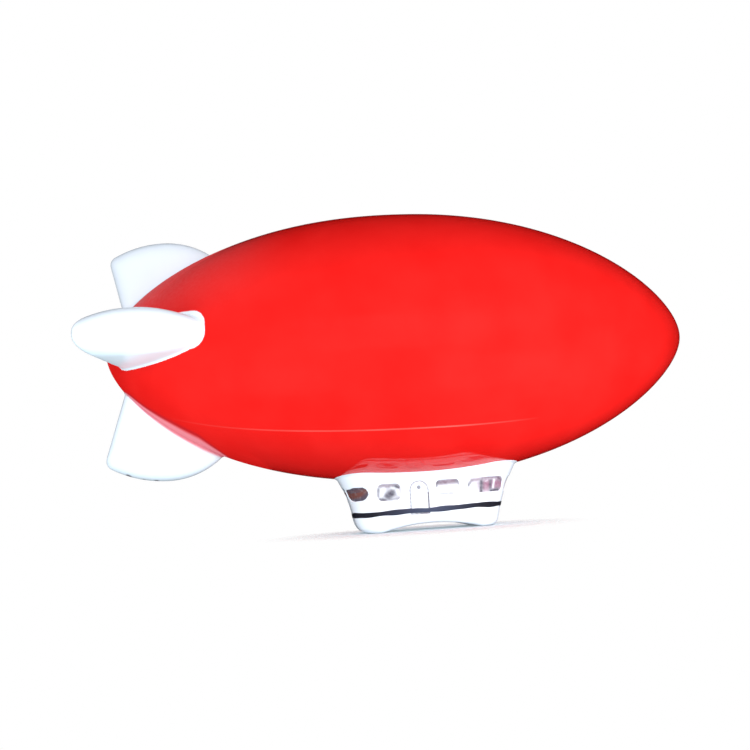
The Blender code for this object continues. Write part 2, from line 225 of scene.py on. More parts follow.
SIDE_WINDOWS = {
    # name: (corner radius, corners (x, z) anticlockwise from the rear end of the sill)
    "window_aft": (
        0.35,
        ((-13.0, 6.1), (-10.8, 6.2), (-9.95, 7.4), (-10.7, 8.6), (-13.4, 8.7), (-14.5, 8.15)),
    ),
    "window_mid_aft": (1.05, ((-8.45, 5.85), (-3.95, 5.85), (-3.85, 9.0), (-8.4, 9.0))),
    "window_mid_fore": (0.80, ((2.85, 6.3), (7.3, 6.35), (7.4, 9.2), (2.9, 9.15))),
    "window_fore": (0.70, ((9.0, 6.3), (16.0, 6.4), (16.5, 9.2), (9.0, 9.2))),
}
END_WINDOWS = {
    # name: end, half width at head, half width at sill, head, sill
    "windscreen": (FRONT, 3.9, 3.7, 9.2, 6.4),
    "rear_window": (REAR, 2.6, 2.4, 8.7, 6.4),
}

# Brush strokes of paint in each window, in shares of its width and height from the rear sill
BROWN, SLATE, DUSKY, MAUVE, BARE = 0.0, 0.5, 0.7, 1.0, None
# The stroke along each window's head is painted shade under the recess's upper edge, and some bare
# strokes are painted highlights
STROKES = {
    # name: (from u, from v, to u, to v, half width in mm, cover, tone)
    "window_aft": (
        (0.00, 0.50, 1.00, 0.50, 4.00, 1.0, BROWN),
        (0.06, 0.86, 0.78, 0.97, 0.50, 0.85, SLATE),
        (0.26, 0.04, 0.86, 0.08, 0.44, 1.0, SLATE),
        (0.72, 0.16, 0.95, 0.46, 0.50, 0.85, SLATE),
        (0.20, 0.66, 0.60, 0.68, 0.12, 0.35, MAUVE),
    ),
    "window_mid_aft": (
        (0.00, 0.50, 1.00, 0.50, 4.00, 0.42, DUSKY),
        (0.16, 0.90, 0.92, 0.88, 0.62, 0.76, DUSKY),
        (0.78, 0.84, 0.90, 0.76, 0.42, 0.95, SLATE),
        (0.46, 0.28, 0.62, 0.44, 1.00, 0.95, SLATE),
        (0.05, 0.30, 0.07, 0.70, 0.38, 0.75, SLATE),
        (0.12, 0.10, 0.34, 0.06, 0.46, 0.85, SLATE),
        (0.32, 0.05, 0.90, 0.12, 0.36, 0.6, SLATE),
        (0.97, 0.26, 0.98, 0.72, 0.26, 0.4, MAUVE),
        (0.18, 0.40, 0.26, 0.68, 0.42, 0.8, BARE),
        (0.84, 0.60, 0.90, 0.34, 0.28, 0.7, BARE),
        (0.60, 0.76, 0.72, 0.72, 0.20, 0.4, BARE),
    ),
    "window_mid_fore": (
        (0.06, 0.82, 0.94, 0.86, 0.66, 0.90, DUSKY),
        (0.02, 0.62, 0.10, 0.90, 0.38, 0.80, SLATE),
        (0.88, 0.88, 0.97, 0.70, 0.34, 0.75, SLATE),
        (0.99, 0.36, 0.99, 0.80, 0.20, 0.5, DUSKY),
        (0.18, 0.06, 0.68, 0.07, 0.30, 0.42, SLATE),
    ),
    "window_fore": (
        (0.02, 0.52, 0.12, 0.82, 0.36, 0.75, SLATE),
        (0.12, 0.82, 0.42, 0.88, 0.46, 0.75, DUSKY),
        (0.44, 0.48, 0.96, 0.54, 1.70, 0.95, MAUVE),
        (0.40, 0.92, 0.95, 0.97, 0.34, 0.85, DUSKY),
        (0.34, 0.08, 0.36, 0.70, 0.50, 0.95, SLATE),
        (0.60, 0.10, 0.62, 0.76, 0.34, 0.8, SLATE),
        (0.62, 0.08, 0.84, 0.14, 0.40, 0.95, SLATE),
        (0.86, 0.90, 0.97, 0.74, 0.46, 0.95, DUSKY),
        (0.69, 0.30, 0.73, 0.76, 0.22, 0.85, BARE),
        (0.48, 0.70, 0.53, 0.76, 0.14, 0.35, BARE),
    ),
    "windscreen": (
        (0.00, 0.50, 1.00, 0.50, 4.00, 0.70, MAUVE),
        (0.02, 0.90, 0.98, 0.93, 0.36, 0.95, SLATE),
        (0.04, 0.08, 0.50, 0.06, 0.26, 0.9, SLATE),
        (0.20, 0.20, 0.34, 0.80, 0.32, 0.9, BARE),
        (0.72, 0.15, 0.84, 0.70, 0.22, 0.8, BARE),
    ),
    "rear_window": (
        (0.00, 0.50, 1.00, 0.50, 4.00, 0.95, BROWN),
        (0.05, 0.92, 0.95, 0.94, 0.30, 0.8, SLATE),
        (0.30, 0.20, 0.55, 0.75, 0.22, 0.6, BARE),
    ),
}
STROKE_FALLOFF = 2.4

# Door leaf in a groove with a round top, set into the wall a little
DOOR_X = -0.45
DOOR_HALF_WIDTH = 1.70
DOOR_FOOT = 3.2
DOOR_HEAD = 9.15
DOOR_SPRING = DOOR_HEAD - DOOR_HALF_WIDTH
DOOR_GAP = 0.10
DOOR_POINTS = 150
DOOR_RINGS, DOOR_RIM_SHARES = 60, (1.0, 1.0, 0.985, 0.96)
DOOR_RING_SHARES = (0.92, 0.02)
DOOR_GROOVE_DEPTH, DOOR_GROOVE_EDGE = 0.12, (0.08, 0.26)
DOOR_POCKET_DEPTH, DOOR_POCKET_EDGE = 0.26, (-0.62, -0.36)
DOOR_PROUD, DOOR_RIM_DROP, DOOR_BACK = 0.03, 0.11, 0.3
DOOR_ARCH_MARK, DOOR_ARCH_SHARE, DOOR_ARCH_FOOT = 0.10, 0.66, 0.2
DOOR_ARCH_EDGE = (0.03, 0.14)

# Its round window: a raised ring round a painted dish
PORTHOLE_HEIGHT = 8.0
PORTHOLE_RADIUS = 0.42
PORTHOLE_RING, PORTHOLE_RING_GAP, PORTHOLE_RING_WIDTH = 0.10, 0.16, 0.13
PORTHOLE_DISH, PORTHOLE_DISH_EDGE = 0.16, (-0.12, 0.04)
PORTHOLE_PAINT_RIM, PORTHOLE_PAINT_CROWN, PORTHOLE_PAINT_BACK = 0.115, 0.04, 0.2
PORTHOLE_PAINT_SHARES = (1.0, 0.96, 0.8, 0.6, 0.4, 0.2)
PORTHOLE_COVER = 0.75

# Painted shade in the door's groove, in dashes and darker at its front, and a patch of painted shade
# at its foot
GROOVE_PAINTED_SHADE = 0.78
GROOVE_FRONT_PAINTED_SHADE, GROOVE_FRONT_HEAD, GROOVE_FRONT_BLEND = 0.5, 7.0, 1.0
GROOVE_DASH, GROOVE_DASHES_ALONG, GROOVE_DASHES_UP = 0.2, 7, 9
DOOR_FOOT_SHADE, DOOR_FOOT_SHADE_PLACE, DOOR_FOOT_SHADE_SIZE = 0.26, (-0.5, 3.1), (1.1, 0.3)

# Black line round the gondola, brushed by hand
LINE_HEIGHT = 3.75
LINE_HALF_WIDTH = 0.46
LINE_RISE, LINE_RISE_FROM_X = 0.02, 1.5
# how the line's blue-grey painted sheen spreads along each side
LINE_SHEEN_SHARE, LINE_SHEEN_FACING = 1.1, 0.9
LINE_WAVES = (
    # height, waves round the gondola, start in radians
    (0.06, 6, 0.6),
    (0.027, 13, 0.0),
)
LINE_SWELLS = (
    # share of the line's width, swells round the gondola, start in radians
    (0.10, 9, 1.0),
    (0.07, 17, 0.0),
)
LINE_PROFILE = (
    # share of its half width, how far it stands proud of the wall
    (-1.0, -0.06),
    (-1.0, 0.005),
    (-0.86, 0.035),
    (-0.5, 0.05),
    (0.0, 0.055),
    (0.5, 0.05),
    (0.86, 0.035),
    (1.0, 0.005),
    (1.0, -0.06),
)

# Studio
CAMERA_PLACE = (-19.83, -127.54, 5.0)
CAMERA_TARGET = (-6.62, 0.0, 31.53)
CAMERA_ROLL = -0.0663
CAMERA_LENS = 30.41
SENSOR = 36.0
CAMERA_CLIP = (0.001, 50.0)
WHITE_TINT, GREENISH_TINT = (1, 1, 1), (0.7, 1.0, 1.0)
LIGHTS = (
    # name, place, target, size, power in watts, tint
    ("key_by_camera", (0, -150, 34), (0, 0, 36), (150, 64), 0.160, WHITE_TINT),
    ("fill_front_right", (65, -125, 62), (10, 0, 37), (70, 70), 0.046, WHITE_TINT),
    ("fill_low_tail", (-52, -50, 3), (-46, -24, 40), (50, 26), 0.016, GREENISH_TINT),
    ("fill_low_nose", (42, -55, 3), (34, -16, 40), (60, 26), 0.027, WHITE_TINT),
    ("fill_rear_left", (-140, -50, 30), (-30, 0, 37), (70, 60), 0.022, WHITE_TINT),
    ("fill_behind", (20, 160, 60), (0, 0, 36), (150, 110), 0.115, WHITE_TINT),
    ("overhead", (0, -150, 400), (0, 0, 30), (300, 200), 0.010, WHITE_TINT),
)
WALL_GLOW, CEILING_GLOW = 0.84, 0.46
ROOM_TINT = (0.9, 0.95, 1.0, 1.0)
FLOOR_GLOW = 0.12
FLOOR_RADIUS, FLOOR_INNERMOST, FLOOR_RINGS, FLOOR_SIDES = 150.0, 5.0, 60, 96
FLOOR_PATCH_X, FLOOR_PATCH_STRETCH = 1.5, 1.3
FLOOR_FADE = (9.0, 26.0)
DOME_RADIUS, DOME_TILT, DOME_RINGS, DOME_SIDES = 4000.0, 80, 17, 48


# Shape of the hull

def hull_radius(x):
    x = np.asarray(x, float)
    fore = x > WIDEST_X
    tip = np.where(fore, NOSE_X, TAIL_X)
    power = np.where(fore, NOSE_POWER, TAIL_POWER)
    taper = np.where(fore, NOSE_TAPER, TAIL_TAPER)
    reach = np.clip((x - WIDEST_X) / (tip - WIDEST_X), 0, 1)
    fullness = 1 - reach**power
    blunting = ((fullness + TIP_ROUNDING) / (1 + TIP_ROUNDING)) ** (taper - 0.5)
    return HULL_RADIUS * np.sqrt(fullness) * blunting


def hull_slope(x):
    step = 0.01
    return (hull_radius(x + step) - hull_radius(x - step)) / (2 * step)


def hull_axis(x):
    """Height of the hull's middle at x: its tail is a little lifted."""
    share = np.maximum(0.0, (TAIL_LIFT_FROM_X - np.asarray(x, float)) / (TAIL_LIFT_FROM_X - TAIL_X))
    return AXIS_HEIGHT + TAIL_LIFT * share**2


def height_above_hull(points):
    """Distance of points from the hull's surface, negative inside it."""
    out = np.hypot(points[:, 1], points[:, 2] - hull_axis(points[:, 0]))
    return (out - hull_radius(points[:, 0])) / np.hypot(1, hull_slope(points[:, 0]))


def under_hull(x, y):
    """Height of the hull's underside over the gondola."""
    return AXIS_HEIGHT - np.sqrt(np.maximum(hull_radius(x) ** 2 - y**2, 0))


# Outlines in a plane

def step_up(value, low, high):
    """0 below low, 1 above high, with a smooth rise between."""
    share = np.clip((value - low) / (high - low), 0, 1)
    return share * share * (3 - 2 * share)


def arc_points(centre, radius, start, end, step=2.0):
    steps = max(2, round(abs(end - start) / step))
    angles = np.radians(np.linspace(start, end, steps + 1))
    return np.stack([centre[0] + radius * np.cos(angles), centre[1] + radius * np.sin(angles)], 1)


def resampled(points, count):
    """The same closed outline with evenly spaced points."""
    closed = np.vstack([points, points[:1]])
    lengths = np.concatenate([[0], np.cumsum(np.hypot(*np.diff(closed, axis=0).T))])
    stops = np.linspace(0, lengths[-1], count, endpoint=False)
    return np.stack([np.interp(stops, lengths, closed[:, k]) for k in (0, 1)], 1)


def rounded_outline(corners, radius, steps=10):
    """A convex outline with each of its corners, listed anticlockwise, turned into an arc."""
    points = []
    count = len(corners)
    for i in range(count):
        here = Vector(corners[i])
        to_last = (Vector(corners[i - 1]) - here).normalized()
        to_next = (Vector(corners[(i + 1) % count]) - here).normalized()
        half_angle = to_last.angle(to_next) / 2
        centre = here + (to_last + to_next).normalized() * (radius / math.sin(half_angle))
        start = here + to_last * (radius / math.tan(half_angle)) - centre
        turn = start.angle(here + to_next * (radius / math.tan(half_angle)) - centre)
        first = math.atan2(start.y, start.x)
        for k in range(steps + 1):
            angle = first + turn * k / steps
            points.append((centre.x + radius * math.cos(angle), centre.y + radius * math.sin(angle)))
    return resampled(np.array(points), PANE_POINTS)


def outline_distance(points, corners, rounding):
    """Distance from a convex outline with round corners, negative inside it."""
    corners = np.asarray(corners, float)
    beyond = []
    for i in range(len(corners)):
        a, b = corners[i], corners[(i + 1) % len(corners)]
        side = (b - a) / np.linalg.norm(b - a)
        beyond.append((points - a) @ np.array([side[1], -side[0]]) + rounding)
    beyond = np.array(beyond)
    outside = np.sqrt(np.sum(np.maximum(beyond, 0) ** 2, axis=0))
    return outside + np.minimum(np.max(beyond, axis=0), 0) - rounding


# Meshes

def loft(rings, tips=(None, None), looped=False):
    """Points and faces of a skin over closed rings, each an array of points.

    A tip closes its end with a fan. A looped skin runs from its last ring back to its first.
    """
    count, around = len(rings), len(rings[0])
    points = np.concatenate(rings)
    index = np.arange(count * around).reshape(count, around)
    if looped:
        index = np.vstack([index, index[:1]])
    shifted = np.roll(index, -1, axis=1)
    quads = np.stack([index[:-1], shifted[:-1], shifted[1:], index[1:]], -1).reshape(-1, 4)
    faces = quads.tolist()
    for tip, ring, turned in ((tips[0], 0, True), (tips[1], -1, False)):
        if tip is not None:
            centre = len(points)
            points = np.vstack([points, tip])
            for a, b in zip(index[ring], shifted[ring]):
                faces.append([int(b), int(a), centre] if turned else [int(a), int(b), centre])
    return points, faces


def zipped(first, count):
    """Faces that join the two halves of a ring of count points, which starts at first."""
    faces = []
    for i in range(count // 2):
        corners = (i, i + 1, (-i - 1) % count, -i % count)
        faces.append([first + corner for corner in dict.fromkeys(corners)])
    return faces


def signed_volume(points, faces):
    total = 0.0
    for size in (3, 4):
        group = np.array([f for f in faces if len(f) == size])
        if len(group):
            for k in range(1, size - 1):
                a, b, c = points[group[:, 0]], points[group[:, k]], points[group[:, k + 1]]
                total += np.einsum("ij,ij->", a, np.cross(b, c))
    return total


def facing_out(points, faces):
    """The faces of a closed skin, turned over if it is inside out."""
    if signed_volume(points, faces) < 0:
        return [face[::-1] for face in faces]
    return faces


def mesh_object(name, points, faces, material, values):
    """An object in the scene.

    values holds numbers kept at the mesh's points for the material to read.
    """
    mesh = bpy.data.meshes.new(name)
    mesh.from_pydata((points * MM).tolist(), [], faces)
    mesh.materials.append(material)
    for label, numbers in values.items():
        layer = mesh.attributes.new(label, "FLOAT", "POINT")
        layer.data.foreach_set("value", np.asarray(numbers, np.float32))
    built = bpy.data.objects.new(name, mesh)
    bpy.context.scene.collection.objects.link(built)
    return built


def add_piece(name, points, faces, material, nodes, values):
    """A named piece of the toy that stands for some of the model's nodes."""
    piece = mesh_object(name, points, facing_out(points, faces), material, values)
    piece.data.shade_smooth()
    piece.data.update()
    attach(piece, BODY)
    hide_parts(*nodes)


def point_normals(points, faces):
    """The smooth normal at each point of a closed skin."""
    mesh = bpy.data.meshes.new("measure")
    mesh.from_pydata(points.tolist(), [], faces)
    mesh.update()
    normals = np.zeros(len(points) * 3)
    mesh.vertex_normals.foreach_get("vector", normals)
    bpy.data.meshes.remove(mesh)
    return normals.reshape(-1, 3)


def unit(vectors):
    return vectors / np.maximum(np.linalg.norm(vectors, axis=1, keepdims=True), 1e-6)


def nearest(points, targets):
    """Distance from each point to the nearest target."""
    tree = kdtree.KDTree(len(targets))
    for i, target in enumerate(targets):
        tree.insert(target, i)
    tree.balance()
    return np.array([tree.find(point)[2] for point in points])


# Materials

def linear(code):
    """A linear colour from an sRGB hex value."""
    channels = [int(code[i:i + 2], 16) / 255 for i in (1, 3, 5)]
    return [c / 12.92 if c <= 0.04045 else ((c + 0.055) / 1.055) ** 2.4 for c in channels] + [1.0]


def per_mm(size):
    """Noise scale, in metres, for features of a size in millimetres."""
    return 1 / (size * MM)


def new_material(name):
    material = bpy.data.materials.new(name)
    material.use_nodes = True
    material.node_tree.nodes.clear()
    return material


def add_node(owner, kind, inputs=None, **settings):
    """A node of a material or world, with its settings.

    Each input is a value, an output that is linked to it, or a node whose first output is.
    """
    node = owner.node_tree.nodes.new(kind)
    for label, value in settings.items():
        setattr(node, label, value)
    for label, value in (inputs or {}).items():
        if isinstance(value, bpy.types.Node):
            value = value.outputs[0]
        if isinstance(value, bpy.types.NodeSocket):
            owner.node_tree.links.new(value, node.inputs[label])
        else:
            node.inputs[label].default_value = value
    return node


def coat(material, place, peel_depth, base, layers, inputs):
    """Elastic paint as a whole material, with the uneven skin of spray or brush.

    base is its lowest colour and layers those over it, each as how much it covers and its
    colour. peel_depth is the height of the skin's orange peel in mm.
    """
    colour = linear(base)
    for cover, code in layers:
        colour = add_node(
            material, "ShaderNodeMix", {0: cover, 6: colour, 7: linear(code)}, data_type="RGBA"
        ).outputs[2]
    peel = add_node(
        material, "ShaderNodeTexNoise", {"Vector": place, "Scale": per_mm(1.1), "Detail": 2.0}
    )
    unevenness = add_node(material, "ShaderNodeTexNoise", {"Vector": place, "Scale": per_mm(7.0)})
    height = add_node(
        material, "ShaderNodeMath", {0: unevenness, 1: 6.0, 2: peel}, operation="MULTIPLY_ADD"
    )
    relief = add_node(
        material, "ShaderNodeBump", {"Height": height, "Strength": 1.0, "Distance": peel_depth * MM}
    )
    paint = add_node(
        material, "ShaderNodeBsdfPrincipled",
        {"Base Color": colour, "IOR": 1.45, "Normal": relief, **inputs},
    )
    add_node(material, "ShaderNodeOutputMaterial", {"Surface": paint})
    return material


def mould_line_highlight(material, place):
    """How strongly the painted highlight along the hull's mould line shows at each place: 0 away from
    it.
    """
    x, y, z = add_node(material, "ShaderNodeSeparateXYZ", {"Vector": place}).outputs
    outward = add_node(material, "ShaderNodeMath", {0: y}, operation="ABSOLUTE")
    level = add_node(material, "ShaderNodeMath", {0: outward, 1: z}, operation="ADD")
    squared = add_node(material, "ShaderNodeMath", {0: x, 1: x}, operation="MULTIPLY")
    sagging = add_node(
        material, "ShaderNodeMath",
        {0: squared, 1: MOULD_LINE_HIGHLIGHT_SAG / MM, 2: level}, operation="MULTIPLY_ADD",
    )
    shown = add_node(
        material, "ShaderNodeMath",
        {0: sagging, 1: AXIS_HEIGHT * MM, 2: MOULD_LINE_HIGHLIGHT_HALF_WIDTH * math.sqrt(2) * MM},
        operation="COMPARE",
    )
    patches = add_node(
        material, "ShaderNodeTexNoise",
        {"Vector": place, "Scale": per_mm(MOULD_LINE_HIGHLIGHT_PATCHES), "Detail": 1.0},
    )
    faintest, strongest = MOULD_LINE_HIGHLIGHT_STRENGTH
    rear, front = (limit * MM for limit in MOULD_LINE_HIGHLIGHT_REACH)
    rear_fade, front_fade = (length * MM for length in MOULD_LINE_HIGHLIGHT_FADES)
    for value, low, high, at_low, at_high in (
        (patches, 0.35, 0.70, faintest, strongest),
        (x, rear, rear + rear_fade, 0.0, 1.0),
        (x, front, front - front_fade, 0.0, 1.0),
    ):
        factor = add_node(
            material, "ShaderNodeMapRange",
            {"Value": value, "From Min": low, "From Max": high, "To Min": at_low, "To Max": at_high},
        )
        shown = add_node(material, "ShaderNodeMath", {0: shown, 1: factor}, operation="MULTIPLY")
    return shown


def sprayed_red_paint():
    """Glossy red elastic paint sprayed on moulded PU foam.

    To the eye: an even, saturated red with a crisp gloss and a fine orange
    peel, and a fine pale line low on each flank, a painted highlight along the
    mould line. White paint spreads over it round the roots of the side fins. By
    the upper fin white dust dulls it, which also paints the white fin's reflection
    there; along the lower fin it pales to pink, partly overspray and partly a
    painted reflection of the fin, behind a dark edge of painted shade.
    Overspray leaves it matt close to the upper and the lower fin.
    """
    material = new_material("sprayed_red_paint_on_foam")
    place = add_node(material, "ShaderNodeNewGeometry").outputs["Position"]
    dust_and_painted_reflection, pink_and_painted_reflection, ridge, margin, overspray = (
        add_node(material, "ShaderNodeAttribute", attribute_name=label).outputs["Fac"]
        for label in ("dust_and_painted_reflection", "pink_and_painted_reflection", "painted_edge_shade", "fin_margin", "overspray")
    )
    cloud, speck = (
        add_node(
            material, "ShaderNodeTexNoise",
            {"Vector": place, "Scale": per_mm(size), "Detail": detail},
        )
        for size, detail in ((9.0, 3.0), (0.6, 4.0))
    )
    grit = add_node(
        material, "ShaderNodeMapRange",
        {"Value": speck, "From Min": 0.3, "From Max": 0.7, "To Min": 0.38, "To Max": 0.62},
    )
    speckled_dust_and_reflection = add_node(material, "ShaderNodeMath", {0: dust_and_painted_reflection, 1: grit}, operation="MULTIPLY")
    ragged = add_node(
        material, "ShaderNodeMath", {0: speck, 1: 0.16, 2: margin}, operation="MULTIPLY_ADD"
    )
    whitened = add_node(
        material, "ShaderNodeMapRange",
        {"Value": ragged, "From Min": 0.06, "From Max": 0.28, "To Min": 1.0, "To Max": 0.0},
        interpolation_type="SMOOTHSTEP",
    )
    gloss = add_node(
        material, "ShaderNodeMapRange",
        {"Value": overspray, "From Max": 0.7, "To Min": 0.27, "To Max": 0.0},
    )
    matt = add_node(
        material, "ShaderNodeMapRange",
        {"Value": overspray, "From Min": 0.7, "To Min": 0.07, "To Max": 0.40},
    )
    layers = (
        (cloud, "#D5201D"),
        # pale: white dust, and a painted reflection of the white upper fin
        (speckled_dust_and_reflection, "#D9D3DA"),
        # pink: overspray, and a painted reflection of the white lower fin
        (pink_and_painted_reflection, "#E17F88"),
        # dark red: painted shade at the edge of the pink band
        (ridge, "#8A1E2A"),
        (whitened, "#DCE1EA"),
        # pale line: a painted highlight along the mould line
        (mould_line_highlight(material, place), "#E87C74"),
    )
    return coat(
        material, place, 0.004, "#C71210", layers, {"Roughness": matt, "Specular IOR Level": gloss}
    )


def sprayed_white_paint():
    """Glossy white elastic paint sprayed on moulded PU foam.

    To the eye: a cool white with a soft gloss, pink where red spray strayed
    over it, and small grey-brown chips where the paint came off an edge, with
    grey painted shade in the door's groove and at its foot.
    """
    material = new_material("sprayed_white_paint_on_foam")
    place = add_node(material, "ShaderNodeNewGeometry").outputs["Position"]
    stray, marks_and_painted_shade = (
        add_node(material, "ShaderNodeAttribute", attribute_name=label).outputs["Fac"]
        for label in ("stray_red", "marks_and_painted_shade")
    )
    cloud = add_node(
        material, "ShaderNodeTexNoise", {"Vector": place, "Scale": per_mm(6.0), "Detail": 3.0}
    )
    layers = (
        (cloud, "#DDE3EB"),
        (stray, "#CE6D78"),
        # grey: chips and marks in the paint, and painted shade in the door's groove and at its foot
        (marks_and_painted_shade, "#6E6A74"),
    )
    return coat(material, place, 0.003, "#D8DFE9", layers, {"Roughness": 0.22})


def brushed_brown_paint():
    """Thin paints brushed into the moulded windows, over the white.

    To the eye: brick brown, mauve and slate run into one another, darker along
    each window's head as painted shade, with white showing in bare streaks, partly
    worn paint and partly painted highlights.
    """
    material = new_material("brushed_brown_paint_in_windows")
    place = add_node(material, "ShaderNodeNewGeometry").outputs["Position"]
    cover, tone = (
        add_node(material, "ShaderNodeAttribute", attribute_name=label).outputs["Fac"]
        for label in ("cover", "tone")
    )
    bristle = add_node(
        material, "ShaderNodeTexNoise", {"Vector": place, "Scale": per_mm(0.5), "Detail": 4.0}
    )
    to_slate = add_node(material, "ShaderNodeMapRange", {"Value": tone, "From Max": SLATE})
    to_mauve = add_node(material, "ShaderNodeMapRange", {"Value": tone, "From Min": SLATE})
    streak = add_node(material, "ShaderNodeMath", {0: bristle, 1: 0.5}, operation="SUBTRACT")
    laid = add_node(
        material, "ShaderNodeMath",
        {0: streak, 1: 0.4, 2: cover}, operation="MULTIPLY_ADD", use_clamp=True,
    )
    bare = add_node(material, "ShaderNodeMath", {0: 1.0, 1: laid}, operation="SUBTRACT")
    layers = (
        (bristle, "#75463F"),
        (to_slate, "#45414F"),
        (to_mauve, "#8C6479"),
        (bare, "#DBE1EA"),
    )
    return coat(material, place, 0.003, "#532F2B", layers, {"Roughness": 0.3})


def brushed_black_paint():
    """Black paint brushed in one line round the gondola.

    To the eye: near black, with a blue-grey painted sheen along the middle of each side.
    """
    material = new_material("brushed_black_paint_line")
    place = add_node(material, "ShaderNodeNewGeometry").outputs["Position"]
    thin = add_node(material, "ShaderNodeAttribute", attribute_name="thin").outputs["Fac"]
    bristle = add_node(
        material, "ShaderNodeTexNoise", {"Vector": place, "Scale": per_mm(0.6), "Detail": 3.0}
    )
    # blue-grey: a painted sheen along the middle of each side
    layers = ((bristle, "#24242E"), (thin, "#3C4258"))
    return coat(material, place, 0.003, "#15151B", layers, {"Roughness": 0.3})


def white_table_board():
    """Matt white melamine board, lit through from below as on a product table.

    To the eye: a cool, even white with a faint shadow under the toy, lost in
    the white surroundings further out.
    """
    material = new_material("white_table_board")
    place = add_node(material, "ShaderNodeNewGeometry").outputs["Position"]
    grain = add_node(material, "ShaderNodeTexNoise", {"Vector": place, "Scale": per_mm(2.0)})
    white = add_node(
        material, "ShaderNodeMix",
        {0: grain, 6: linear("#D9EAEE"), 7: linear("#DDEEF2")}, data_type="RGBA",
    )
    board = add_node(
        material, "ShaderNodeBsdfPrincipled",
        {
            "Base Color": white.outputs[2], "Roughness": 0.8, "Specular IOR Level": 0.1,
            "Emission Color": (1, 1, 1, 1), "Emission Strength": FLOOR_GLOW,
        },
    )
    away = add_node(material, "ShaderNodeAttribute", attribute_name="away").outputs["Fac"]
    clear = add_node(material, "ShaderNodeBsdfTransparent")
    edge = add_node(material, "ShaderNodeMixShader", {0: away, 1: board, 2: clear})
    add_node(material, "ShaderNodeOutputMaterial", {"Surface": edge})
    return material


def white_studio_dome():
    """White paper lit evenly, far off. To the eye: flat white all round."""
    material = new_material("white_studio_dome")
    glow = add_node(material, "ShaderNodeEmission", {"Color": (1, 1, 1, 1), "Strength": 1.0})
    add_node(material, "ShaderNodeOutputMaterial", {"Surface": glow})
    return material


# Fins

def fin_outline():
    """The fin's edge from its root at the nose side, over the crown, to the tail side."""
    lead_centre = (FIN_CROWN_X, FIN_CROWN_R - FIN_LEADING_ARC)
    crown_centre = (FIN_CROWN_X, FIN_CROWN_R - FIN_CROWN_ARC)
    corner_x = FIN_REAR_X + FIN_CORNER_RADIUS
    reach = FIN_CROWN_ARC - FIN_CORNER_RADIUS
    corner_r = crown_centre[1] + math.sqrt(reach**2 - (corner_x - FIN_CROWN_X) ** 2)
    meet = math.degrees(math.atan2(corner_r - crown_centre[1], corner_x - FIN_CROWN_X))
    parts = [
        arc_points(lead_centre, FIN_LEADING_ARC, 90 - FIN_LEADING_SWEEP, 90),
        arc_points(crown_centre, FIN_CROWN_ARC, 90, meet)[1:],
        arc_points((corner_x, corner_r), FIN_CORNER_RADIUS, meet, 180 + FIN_TRAILING_LEAN)[1:],
    ]
    tail_x, tail_r = parts[-1][-1]
    run = (tail_r - FIN_ROOT_R) * math.tan(math.radians(FIN_TRAILING_LEAN))
    parts.append([(tail_x + run, FIN_ROOT_R), (parts[0][0][0], FIN_ROOT_R)])
    return resampled(np.concatenate(parts), FIN_RIM_POINTS)


def fin_half_thickness(x, share):
    """Half the fin's thickness at x, where share is 0 at its middle and 1 at its edge."""
    lengthwise = 1 - FIN_TAPER * ((x - FIN_THICKEST_X) / FIN_TAPER_LENGTH) ** 2
    edge = max(0.0, (share - 1 + FIN_EDGE_WIDTH) / FIN_EDGE_WIDTH)
    rounding = (1 - min(edge, 1.0) ** FIN_EDGE_POWER) ** (1 / FIN_EDGE_POWER)
    return FIN_HALF_THICKNESS * lengthwise * (1 - FIN_CROWNING * share**2) * rounding


def fin_skin(turn):
    """A pillow of shrunken outlines: its points in the fin's own plane and in place, and faces."""
    outline = fin_outline()
    middle = np.array([FIN_CROWN_X, FIN_MIDDLE_R])
    start = 1 - FIN_EDGE_WIDTH
    edge_angles = np.radians(np.linspace(FIN_EDGE_FIRST_ANGLE, 90, FIN_EDGE_RINGS))
    shares = list(np.linspace(FIN_INNERMOST_SHARE, start, FIN_FACE_RINGS))
    shares += list(start + FIN_EDGE_WIDTH * np.sin(edge_angles))
    rings = []
    for side, run in ((-1, shares), (1, shares[-2::-1])):
        for share in run:
            x, r = (middle + (outline - middle) * share).T
            rings.append(np.stack([x, side * fin_half_thickness(x, share), r], 1))
    half = fin_half_thickness(FIN_CROWN_X, 0.0)
    tips = [np.array([FIN_CROWN_X, side * half, FIN_MIDDLE_R]) for side in (-1, 1)]
    own, faces = loft(rings, tips)
    angle = math.radians(turn)
    y = own[:, 1] * math.cos(angle) - own[:, 2] * math.sin(angle)
    z = own[:, 1] * math.sin(angle) + own[:, 2] * math.cos(angle)
    return own, np.stack([own[:, 0], y, FIN_AXIS_HEIGHT + z], 1), faces


def root_line(points, faces):
    """Points where the fin's skin passes through the hull's surface."""
    height = height_above_hull(points)
    edges = np.concatenate([[(face[0], face[1]), (face[1], face[2])] for face in faces])
    a, b = edges[:, 0], edges[:, 1]
    crossing = height[a] * height[b] < 0
    a, b = a[crossing], b[crossing]
    share = (height[a] / (height[a] - height[b]))[:, None]
    return points[a] * (1 - share) + points[b] * share


def paint_border(distance, width, strength, spread):
    """A darker line at the outer edge of a band of a width: strongest at its border."""
    return strength * np.minimum(width, 1) * np.exp(-(((distance - width) / spread) ** 2))


